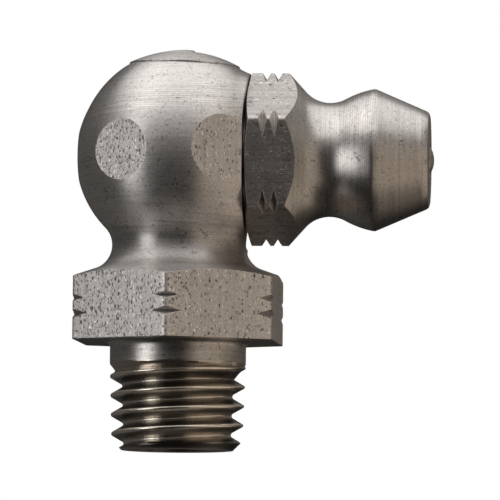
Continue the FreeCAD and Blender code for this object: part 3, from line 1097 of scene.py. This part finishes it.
# %% Glows on the flags
# Azimuth from, to and softness, then elevation from, to and softness, in degrees, and the colour. The
# azimuth is 0 at the front and grows towards the head. From -400 to 400 is all round, and an elevation of 200
# is over the zenith.
GLOWS = (
    (-400, 400, 10, 28, 200, 24, (0.26, 0.253, 0.247)),      # the softbox's spill, all round
    (-400, 400, 10, 68, 200, 14, (0.22, 0.22, 0.22)),        # the same, higher up
    (-95, 100, 25, 20, 52, 14, (0.12, 0.115, 0.11)),         # front edge of the softbox
    (-100, -40, 12, 32, 75, 9, (0.40, 0.40, 0.40)),          # its left corner
    (-63, -42, 8, -18, 14, 11, (3.0, 3.0, 3.0)),             # bright strip on the left
    (28, 88, 12, -48, 22, 14, (0.52, 0.44, 0.362)),          # warm card on the right
    (88, 122, 12, -50, -6, 12, (0.52, 0.44, 0.36)),          # its lower end, further round
    (75, 150, 18, -72, -30, 14, (0.07, 0.059, 0.05)),        # warm light from the table
    (-165, -80, 20, -60, 20, 18, (0.07, 0.068, 0.066)),      # dim wall on the left
    (98, 172, 12, -8, 40, 10, (0.115, 0.10, 0.086)),         # dim wall behind the head
)
print("the flags have", len(GLOWS), "glows")


# %% Material of the flags
TENT_BLACK = (0.020, 0.019, 0.018)


def tent_material():
    """Emission painted by direction. The tent is black wherever no glow lies."""
    material = bpy.data.materials.new("black_flags")
    material.use_nodes = True
    tree = material.node_tree
    tree.nodes.clear()
    place = node(tree, "TexCoord").outputs["Object"]
    x, y, z = node(tree, "SeparateXYZ", [vectors(tree, "NORMALIZE", place)]).outputs
    azimuth = maths(tree, "DEGREES", maths(tree, "ARCTAN2", x, maths(tree, "MULTIPLY", y, -1.0)))
    elevation = maths(tree, "DEGREES", maths(tree, "ARCSINE", z))

    def window(value, low, high, soft):
        """1 between low and high, with soft ends."""
        rise = remap(tree, value, low - soft, low + soft)
        fall = remap(tree, value, high - soft, high + soft, 1.0, 0.0)
        return maths(tree, "MULTIPLY", rise, fall)

    total = node(tree, "CombineXYZ", list(TENT_BLACK)).outputs[0]
    for low_az, high_az, soft_az, low_el, high_el, soft_el, glow in GLOWS:
        mask = maths(tree, "MULTIPLY", window(azimuth, low_az, high_az, soft_az),
                     window(elevation, low_el, high_el, soft_el))
        total = vectors(tree, "ADD", total, scaled(tree, glow, mask))
    emission = node(tree, "Emission", {"Color": total, "Strength": 1.0})
    node(tree, "OutputMaterial", {"Surface": emission.outputs[0]})
    return material


# %% Flags
TENT_RADIUS = 450
tent_mesh = bpy.data.meshes.new("flags")
tent_work = bmesh.new()
bmesh.ops.create_icosphere(tent_work, subdivisions=4, radius=TENT_RADIUS * MM)
tent_work.to_mesh(tent_mesh)
tent_work.free()
tent = bpy.data.objects.new("flags", tent_mesh)
tent.location = (0, 0, ball_height * MM)
tent_mesh.materials.append(tent_material())
bpy.context.scene.collection.objects.link(tent)
tent.visible_camera = False
tent.visible_diffuse = False
tent.visible_transmission = False
print("flags", TENT_RADIUS, "mm round the ball,", len(tent_mesh.polygons), "faces")


# %% Background
WORLD_FILL = 0.5     # what the world gives to the rays that don't see white


def background(tree):
    """1 for rays that should see white, 0 for the others."""
    rays = node(tree, "LightPath").outputs
    seen = maths(tree, "MAXIMUM", rays["Is Camera Ray"], rays["Is Glossy Ray"])
    return maths(tree, "MAXIMUM", seen, rays["Is Transmission Ray"])


world = bpy.data.worlds.new("white_studio")
bpy.context.scene.world = world
world.use_nodes = True
world_tree = world.node_tree
world_shader = world_tree.nodes["Background"]
world_level = maths(world_tree, "MULTIPLY_ADD", background(world_tree), 1.0 - WORLD_FILL, WORLD_FILL)
world_tree.links.new(world_level, world_shader.inputs["Strength"])
world_shader.inputs["Color"].default_value = (1, 1, 1, 1)
print("world", WORLD_FILL, "for the rays that don't see white")

# %% Pale floor
floor_place = -480     # along Z, below the flags
floor_half = 2000
floor_mesh = bpy.data.meshes.new("pale_floor")
floor_corners = [(x * floor_half * MM, y * floor_half * MM, 0)
                 for x, y in ((-1, -1), (1, -1), (1, 1), (-1, 1))]
floor_mesh.from_pydata(floor_corners, [], [(0, 1, 2, 3)])
floor = bpy.data.objects.new("pale_floor", floor_mesh)
floor.location = (0, 0, floor_place * MM)
floor_material = bpy.data.materials.new("pale_floor")
floor_material.use_nodes = True
floor_tree = floor_material.node_tree
floor_shader = floor_tree.nodes["Principled BSDF"]
floor_shader.inputs["Base Color"].default_value = (0.9, 0.9, 0.9, 1)
floor_shader.inputs["Roughness"].default_value = 0.9
glow = node(floor_tree, "Emission", {"Color": (1, 1, 1, 1), "Strength": 1.0})
blend = node(floor_tree, "MixShader", [background(floor_tree), floor_shader.outputs[0], glow.outputs[0]])
floor_tree.links.new(blend.outputs[0], floor_tree.nodes["Material Output"].inputs["Surface"])
floor_mesh.materials.append(floor_material)
bpy.context.scene.collection.objects.link(floor)
bpy.context.scene.view_settings.view_transform = "Standard"
print("floor", -floor_place, "mm below the hex")
